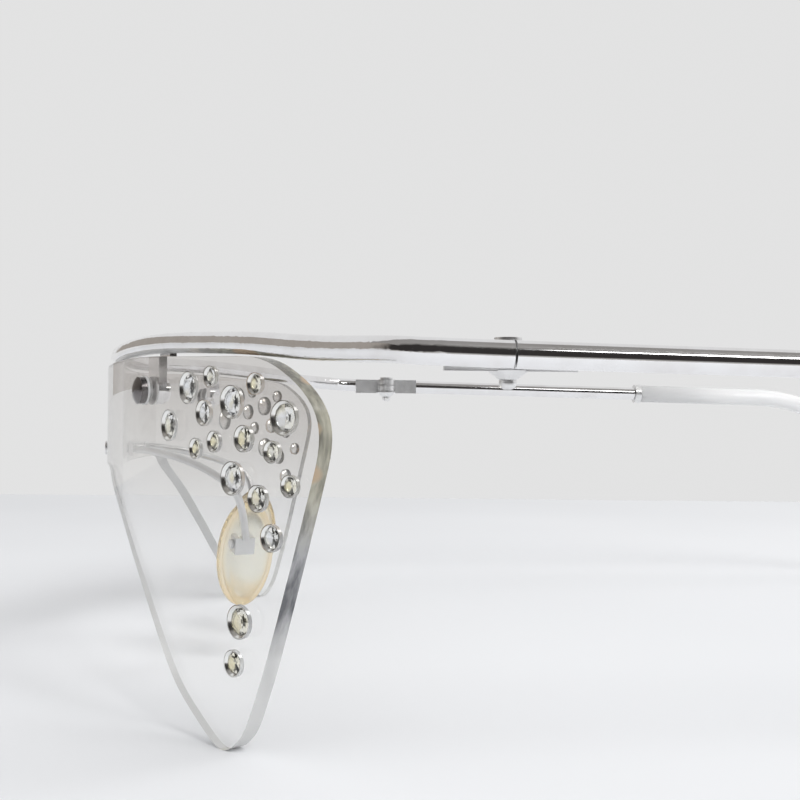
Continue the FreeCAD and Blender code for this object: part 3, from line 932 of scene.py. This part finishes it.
@dataclass
class NosePad:
    """Soft moulded pad: domed oval with a rounded rim and a bored lug for its pin."""

    side: Side
    turn: float = 22.0
    lean: float = 12.0
    thick: float = 2.0 * MM
    shoulders: tuple = (
        (1.5, 0.0), (0.62, 0.1), (0.15, 0.34), (0.0, 0.62), (0.16, 0.86), (0.6, 0.95), (1.5, 0.985),
    )
    lug_radius: float = 0.65 * MM
    lug_bore: float = 0.40 * MM
    lug_half: float = 0.5 * MM
    lug_chamfer: float = 0.07 * MM
    root_tall: float = 1.0 * MM
    root_stop: float = 0.5 * MM
    root_sink: float = 0.3 * MM
    root_round: float = 0.15 * MM

    def frame_matrix(self) -> Matrix:
        """The pad's own axes: X through it, Y across, Z up its length.

        Returns:
            The turn from the frame's axes.
        """
        sign = self.side.value
        turn = Matrix.Rotation(math.radians(self.turn * sign), 4, "Z")
        return turn @ Matrix.Rotation(math.radians(self.lean * sign), 4, "Y")

    def own_points(self, node: str) -> list:
        """The node's vertices in the pad's own axes.

        Args:
            node: the CAD node's name.

        Returns:
            The points.
        """
        back = self.frame_matrix().inverted()
        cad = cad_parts[node]
        return [back @ (cad.matrix_world @ vert.co) for vert in cad.data.vertices]

    def extent(self, points: list) -> tuple:
        """The lowest and highest corner of some points.

        Args:
            points: the points.

        Returns:
            Both corners.
        """
        low = Vector(min(point[axis] for point in points) for axis in range(3))
        high = Vector(max(point[axis] for point in points) for axis in range(3))
        return low, high

    def build(self) -> None:
        """Mould the pad."""
        node = f"nose_pad_{self.side.word}"
        points = self.own_points(node)
        low, high = self.extent(points)
        middle = (low + high) / 2.0
        sign = self.side.value
        face = low.x if sign > 0 else high.x
        mesh = bmesh.new()
        rings = self.mould(mesh, high.z - low.z, high.y - low.y)
        lay = Matrix.Rotation(sign * QUARTER_TURN, 4, "Y")
        bmesh.ops.transform(mesh, matrix=lay, verts=rings)
        back_face = face + sign * self.thick
        bmesh.ops.translate(mesh, vec=(back_face, middle.y, middle.z), verts=mesh.verts)
        far = high.x if sign > 0 else low.x
        tip_low, tip_high = self.extent([point for point in points if abs(point.x - far) < LEVEL])
        tip = (tip_low + tip_high) / 2.0
        self.add_lug(mesh, back_face, tip)
        bmesh.ops.transform(mesh, matrix=self.frame_matrix(), verts=mesh.verts)
        piece = piece_from(f"moulded_pad_{self.side.word}", mesh)
        centre = self.frame_matrix() @ Vector((face, middle.y, middle.z))
        reach = (1.0, (high.y - low.y) / 2.0, (high.z - low.z) / 2.0)
        turned = tuple(self.frame_matrix().to_euler("XYZ"))
        silicone = SiliconeFinish(f"pad_silicone_{self.side.word}", tuple(centre), reach, turned)
        dress(piece, silicone.build())
        stand_in(piece, node, f"pad_{self.side.word}")

    def mould(self, mesh: BMesh, tall: float, wide: float) -> list:
        """Loft oval rings from the flat back to the domed face.

        Args:
            mesh: the bmesh to add to.
            tall: the pad's length.
            wide: the pad's width.

        Returns:
            The vertices made.
        """
        before = None
        last = len(self.shoulders) - 1
        for number, (inset, share) in enumerate(self.shoulders):
            half_tall = tall / 2.0 - inset * MM
            half_wide = wide / 2.0 - inset * MM
            ring = oval_ring(mesh, half_tall, half_wide, -share * self.thick, number in (0, last))
            if before is not None:
                bmesh.ops.bridge_loops(mesh, edges=before + ring)
            before = ring
        return list(mesh.verts)

    def add_lug(self, mesh: BMesh, back_face: float, tip: Vector) -> None:
        """Stand the bored lug and its root on the back of the pad.

        Args:
            mesh: the bmesh to add to.
            back_face: X of the pad's back, in its own axes.
            tip: middle of the lug's far face, in its own axes.
        """
        sign = self.side.value
        pin_x = tip.x - sign * self.lug_radius
        rim = self.lug_radius - self.lug_chamfer
        brim = self.lug_half - self.lug_chamfer
        profile = (
            (self.lug_bore, -self.lug_half), (rim, -self.lug_half), (self.lug_radius, -brim),
            (self.lug_radius, brim), (rim, self.lug_half), (self.lug_bore, self.lug_half),
            (self.lug_bore, -self.lug_half),
        )
        eye = lathe(mesh, profile)
        lay = Matrix.Translation((pin_x, tip.y, tip.z)) @ Matrix.Rotation(QUARTER_TURN, 4, "X")
        bmesh.ops.transform(mesh, matrix=lay, verts=eye)
        near = back_face - sign * self.root_sink
        end = pin_x - sign * self.root_stop
        size = Matrix.Diagonal((abs(end - near), 2.0 * self.lug_half, self.root_tall, 1.0))
        middle = Matrix.Translation(((near + end) / 2.0, tip.y, tip.z))
        root = bmesh.ops.create_cube(mesh, size=1.0)["verts"]
        bmesh.ops.transform(mesh, matrix=middle @ size, verts=root)
        edges = list({edge for vert in root for edge in vert.link_edges})
        bmesh.ops.bevel(mesh, geom=edges, offset=self.root_round, segments=3, profile=0.5,
                        affect="EDGES", material=-1)


# ---- ear tips


@dataclass
class TipSleeve:
    """Milky sleeve over the end of one temple: straight, bent behind the ear, rounded off."""

    side: Side
    finish: Material
    slope: float = 1.05
    bend_angle: float = 55.0
    bend_radius: float = 34.0 * MM
    radius: float = 1.69 * MM
    end_margin: float = 0.025 * MM
    seam_to_bend: float = 77.0 * MM
    bend_steps: int = 40
    round_steps: int = 8
    sections: int = 40

    def build(self) -> None:
        """Sweep the sleeve from its ring to its rounded end."""
        node = f"tip_sleeve_{self.side.word}"
        low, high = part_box(node)
        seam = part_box(f"hinge_screw_{self.side.word}")
        seam_y = (seam[0].y + seam[1].y) / 2.0
        centre_x = (low.x + high.x) / 2.0
        slope = math.radians(self.slope)
        mesh = bmesh.new()
        made = bmesh.ops.create_circle(mesh, cap_ends=True, segments=self.sections,
                                       radius=self.radius)["verts"]
        start = Vector((centre_x, low.y, high.z - self.radius))
        face_rear = Matrix.Rotation(-QUARTER_TURN - slope, 4, "X")
        bmesh.ops.transform(mesh, matrix=Matrix.Translation(start) @ face_rear, verts=made)
        along = Vector((0.0, math.cos(slope), -math.sin(slope)))
        ring = list({edge for vert in made for edge in vert.link_edges})
        run = (seam_y + self.seam_to_bend - low.y) / math.cos(slope)
        ring = self.push(mesh, ring, along * run)
        bend = start + along * run
        centre = bend + Vector((0.0, -math.sin(slope), -math.cos(slope))) * self.bend_radius
        angle = math.radians(self.bend_angle)
        spun = bmesh.ops.spin(mesh, geom=ring, cent=centre, axis=(-1, 0, 0), angle=angle,
                              steps=self.bend_steps)
        ring = [part for part in spun["geom_last"] if isinstance(part, BMEdge)]
        tail = Vector((0.0, math.cos(slope + angle), -math.sin(slope + angle)))
        points = {vert for edge in ring for vert in edge.verts}
        level = sum(vert.co.z for vert in points) / len(points)
        length = (level - low.z - self.radius) / -tail.z - self.end_margin
        ring = self.push(mesh, ring, tail * length)
        self.round_off(mesh, ring, tail)
        piece = piece_from(f"clear_sleeve_{self.side.word}", mesh)
        dress(piece, self.finish)
        stand_in(piece, node, f"temple_{self.side.word}")

    def push(self, mesh: BMesh, ring: list, step: Vector) -> list:
        """Extrude a ring of edges by one step.

        Args:
            mesh: the bmesh.
            ring: the edges.
            step: how far they go.

        Returns:
            The new ring.
        """
        made = bmesh.ops.extrude_edge_only(mesh, edges=ring)["geom"]
        moved = [part for part in made if isinstance(part, BMVert)]
        bmesh.ops.translate(mesh, vec=step, verts=moved)
        return [part for part in made if isinstance(part, BMEdge) and self.is_open(part)]

    def is_open(self, edge: BMEdge) -> bool:
        """Whether an edge still waits for its second face.

        Args:
            edge: the edge.

        Returns:
            True while only one face uses it.
        """
        return len(edge.link_faces) == 1

    def round_off(self, mesh: BMesh, ring: list, tail: Vector) -> None:
        """Close the end with a half round.

        Args:
            mesh: the bmesh.
            ring: the open ring.
            tail: the direction of the end.
        """
        for step in range(1, self.round_steps):
            now = QUARTER_TURN * step / self.round_steps
            past = QUARTER_TURN * (step - 1) / self.round_steps
            ring = self.push(mesh, ring, tail * self.radius * (math.sin(now) - math.sin(past)))
            points = list({vert for edge in ring for vert in edge.verts})
            middle = sum((vert.co for vert in points), Vector()) / len(points)
            size = Matrix.Scale(math.cos(now) / math.cos(past), 4)
            about = Matrix.Translation(middle) @ size @ Matrix.Translation(-middle)
            bmesh.ops.transform(mesh, matrix=about, verts=points)
        bmesh.ops.holes_fill(mesh, edges=ring, sides=self.sections)


# ---- studio


@dataclass(frozen=True)
class Lamp:
    """One square soft light aimed at the origin."""

    name: str
    place: tuple
    size: float
    power: float


@dataclass
class Studio:
    """Pale table, soft light and the camera."""

    hinge_y: float
    camera_x: float = 0.1693
    camera_ahead: float = 0.01985
    camera_z: float = 0.0339
    focal: float = 53.15
    sensor: float = 36.0
    turn: float = 5.52
    tip: float = 0.568
    roll: float = 0.55
    table_far: float = -0.29
    table_near: float = 1.2
    table_side: float = 1.6
    room_level: float = 0.765
    card_far: float = 0.60
    card_near: float = 0.17
    card_top: float = 0.50
    card_side: float = 1.2
    card_foot: float = 0.002
    tan_foot: float = 0.05
    ceiling_start: float = -0.02
    tan_fade: tuple = (0.12, 0.30)
    # These colours glow on cards that only reflections see: painted reflections of a dark room, the table
    # and the space overhead.
    reflected_room_dark: tuple = (0.035, 0.032, 0.031)
    reflected_table_bright: tuple = (0.62, 0.61, 0.60)
    reflected_table_grey: tuple = (0.25, 0.24, 0.23)
    reflected_ceiling_grey: tuple = (0.30, 0.29, 0.28)
    reflected_ceiling_dark: tuple = (0.08, 0.075, 0.07)
    tan: tuple = (0.36, 0.33, 0.30)
    clip_start: float = 0.005
    lamps: tuple = (Lamp("key", (0.45, 0.25, 0.55), 0.35, 2.4), Lamp("rear", (-0.1, 0.5, 0.6), 0.3, 0.8))

    def build(self) -> None:
        """Make the table, the lights, the surroundings and the camera."""
        self.make_table()
        self.make_surroundings()
        self.make_lights()
        self.make_camera()

    def make_table(self) -> None:
        """Lay the table top under the lens tips."""
        mesh = bmesh.new()
        bmesh.ops.create_grid(mesh, x_segments=2, y_segments=2, size=1.0)
        middle = (self.table_far + self.table_near) / 2.0
        half = (self.table_near - self.table_far) / 2.0
        spin = Matrix.Rotation(math.radians(-self.turn), 4, "Z")
        size = Matrix.Diagonal((half, self.table_side, 1.0, 1.0))
        shape = Matrix.Translation((middle, 0.0, CAD_BOX[0].z)) @ size
        bmesh.ops.transform(mesh, matrix=spin @ shape, verts=mesh.verts)
        table = piece_from("table_top", mesh)
        dress(table, TableFinish().build())

    def make_surroundings(self) -> None:
        """Light everything from a pale room, and add glowing cards that only reflections see: painted
        reflections of a darker near side of the room, the table, the space overhead and a tan side.
        """
        world = bpy.data.worlds.new("pale_room")
        bpy.context.scene.world = world
        world.use_nodes = True
        backdrop = world.node_tree.nodes["Background"]
        backdrop.inputs["Color"].default_value = (self.room_level, self.room_level, self.room_level, 1.0)
        backdrop.inputs["Strength"].default_value = 1.0
        dark = self.reflected_room_dark
        near = ((0.0, 0.25, 0.6), (self.reflected_table_bright, self.reflected_table_grey, dark))
        overhead = ((0.0, 0.6, 0.95), (self.reflected_ceiling_grey, self.reflected_ceiling_grey, self.reflected_ceiling_dark))
        foot = (self.card_far, self.card_foot)
        top = (self.card_far, self.card_top)
        # Each card is a painted reflection: it glows, lights nothing and the camera never sees it.
        self.make_card("table_reflection_card", (self.card_near, self.card_foot), foot, near)
        self.make_card("dark_reflection_card", foot, top, ((0.0, 1.0), (dark, dark)))
        self.make_card("ceiling_reflection_card", (self.ceiling_start, self.card_top), top, overhead)
        tan = ((0.0, 1.0), (self.tan, dark))
        self.make_card("tan_reflection_card", (self.card_far, self.tan_foot), top, tan, -90.0, self.tan_fade)

    def make_card(self, name: str, start: tuple, end: tuple, glow: tuple, turn: float = 0.0,
                  fade: tuple = None) -> None:
        """Run a glowing card along Y between two (x, z) places, then turn it about Z; only reflections see
        it, so its glow is a painted reflection.

        Args:
            name: the card's name.
            start: one long edge.
            end: the other long edge.
            glow: stops and colours of its glow, from the edge nearer the object outwards.
            turn: degrees it is turned round the object.
            fade: X where the ramp starts and ends, if not the card's own edges.
        """
        mesh = bmesh.new()
        first = mesh.verts.new((start[0], -self.card_side, start[1]))
        second = mesh.verts.new((start[0], self.card_side, start[1]))
        edge = mesh.edges.new((first, second))
        made = bmesh.ops.extrude_edge_only(mesh, edges=[edge])["geom"]
        step = (end[0] - start[0], 0.0, end[1] - start[1])
        moved = [part for part in made if isinstance(part, BMVert)]
        bmesh.ops.translate(mesh, vec=step, verts=moved)
        spin = Matrix.Rotation(math.radians(turn), 4, "Z")
        bmesh.ops.transform(mesh, matrix=spin, verts=mesh.verts)
        card = piece_from(name, mesh)
        bench = NodeBench(name + "_glow")
        reach = fade or (start[0], max(end[0], start[0] + MM))
        run = bench.spread(bench.parts(bench.place())[0], *reach)
        shine = bench.add("ShaderNodeEmission")
        bench.join(bench.ramp(run, *glow), shine.inputs["Color"])
        bench.join(shine.outputs[0], bench.output.inputs["Surface"])
        dress(card, bench.material)
        card.visible_camera = False
        card.visible_diffuse = False
        card.visible_shadow = False
        card.visible_transmission = False

    def make_lights(self) -> None:
        """Hang one broad soft light above the camera's right shoulder and a weak one behind."""
        for lamp in self.lamps:
            data = bpy.data.lights.new(lamp.name, "AREA")
            data.shape = "SQUARE"
            data.size = lamp.size
            data.energy = lamp.power
            light = bpy.data.objects.new(lamp.name, data)
            light.location = lamp.place
            light.rotation_euler = (-Vector(lamp.place)).to_track_quat("-Z", "Y").to_euler()
            bpy.context.scene.collection.objects.link(light)

    def make_camera(self) -> None:
        """Look across the front corner from the wearer's left, a little above the table."""
        data = bpy.data.cameras.new("view")
        data.sensor_width = self.sensor
        data.lens = self.focal
        data.clip_start = self.clip_start
        camera = bpy.data.objects.new("view", data)
        turn, tip = math.radians(self.turn), math.radians(self.tip)
        ahead = Vector((-math.cos(turn) * math.cos(tip), math.sin(turn) * math.cos(tip), math.sin(tip)))
        aim = ahead.to_track_quat("-Z", "Y").to_matrix().to_4x4()
        place = Matrix.Translation((self.camera_x, self.hinge_y - self.camera_ahead, self.camera_z))
        camera.matrix_world = place @ aim @ Matrix.Rotation(math.radians(self.roll), 4, "Z")
        bpy.context.scene.collection.objects.link(camera)
        bpy.context.scene.camera = camera


# ---- the pair


PAD_FITTINGS = ("pad_arm", "pad_box", "pad_screw")
SATIN_FITTINGS = ("hinge_", "bridge_screws", "tip_ring")
SMALL_FITTINGS = (
    "hinge_screw", "hinge_nut", "bridge_screws", "lens_screw", "lens_tab", "pad_box", "pad_screw",
    "pad_bridge", "tip_ring",
)


@dataclass
class Sunglasses:
    """The whole pair: shaped pieces and the CAD nodes that keep their shape."""

    lens_radius: float = 78.0 * MM
    fitting_bevel: float = 0.06 * MM
    nut_bevel: float = 0.12 * MM
    leaf_bevel: float = 0.2 * MM
    finishes: dict = field(default_factory=dict)

    def build(self) -> None:
        """Finish every piece."""
        low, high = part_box("shield_lens")
        axis_y = low.y + self.lens_radius
        self.mix_finishes(axis_y, high.z)
        for side in Side:
            StoneField(side, axis_y, self.finishes["glass"], self.finishes["cup"]).build()
            NosePad(side).build()
            TipSleeve(side, self.finishes["sleeve"]).build()
        self.dress_nodes()

    def mix_finishes(self, axis_y: float, top: float) -> None:
        """Make the materials that several pieces share.

        Args:
            axis_y: Y of the lens's axis.
            top: height of the lens.
        """
        tumbled = Grain.TUMBLED
        plan = {
            "silver": MetalFinish("polished_silver", (0.90, 0.90, 0.91), (0.82, 0.81, 0.81)),
            "nickel": MetalFinish("dark_nickel", (0.26, 0.25, 0.25), (0.14, 0.13, 0.13), 0.12, tumbled),
            "cup": MetalFinish("bright_cup", (0.93, 0.93, 0.92), (0.84, 0.82, 0.78), 0.17),
            "shaded": MetalFinish("shaded_wire", (0.70, 0.70, 0.70), (0.62, 0.62, 0.61), 0.28),
            "satin": MetalFinish("satin_silver", (0.88, 0.88, 0.88), (0.76, 0.76, 0.76), 0.32, tumbled),
            "lens": LensFinish("faded_tint", axis_y, top, 0.0),
            "glass": GlassFinish("cut_glass", (0.96, 0.97, 0.99), (0.97, 0.94, 0.80), 1.62),
            "sleeve": MilkyFinish("milky_sleeve"),
        }
        self.finishes = {key: finish.build() for key, finish in plan.items()}

    def dress_nodes(self) -> None:
        """Give each remaining CAD node its finish, and break the fittings' edges."""
        smoothing = smooth_group()
        for name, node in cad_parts.items():
            node.modifiers.new("smooth_shading", "NODES").node_group = smoothing
            if name.startswith("shield"):
                dress(node, self.finishes["lens"])
            elif name.startswith("lens_cap"):
                dress(node, self.finishes["nickel"])
                soften(node, self.nut_bevel)
            elif name.startswith("lens_washers"):
                dress(node, self.finishes["sleeve"])
            elif name.startswith(PAD_FITTINGS):
                dress(node, self.finishes["shaded"])
            elif name.startswith(SATIN_FITTINGS):
                dress(node, self.finishes["satin"])
            elif not name.startswith(("stone", "nose_pad", "tip_sleeve")):
                dress(node, self.finishes["silver"])
            if name.startswith(SMALL_FITTINGS):
                soften(node, self.fitting_bevel)
            if "leaf" in name:
                soften(node, self.leaf_bevel)
            LOG.info("%s dressed", name)


def main() -> None:
    """Build the scene."""
    bpy.context.scene.view_settings.view_transform = "Standard"
    pin_low, pin_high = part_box("hinge_screw_left")
    Studio((pin_low.y + pin_high.y) / 2.0).build()
    Sunglasses().build()


if __name__ == "__main__":
    main()
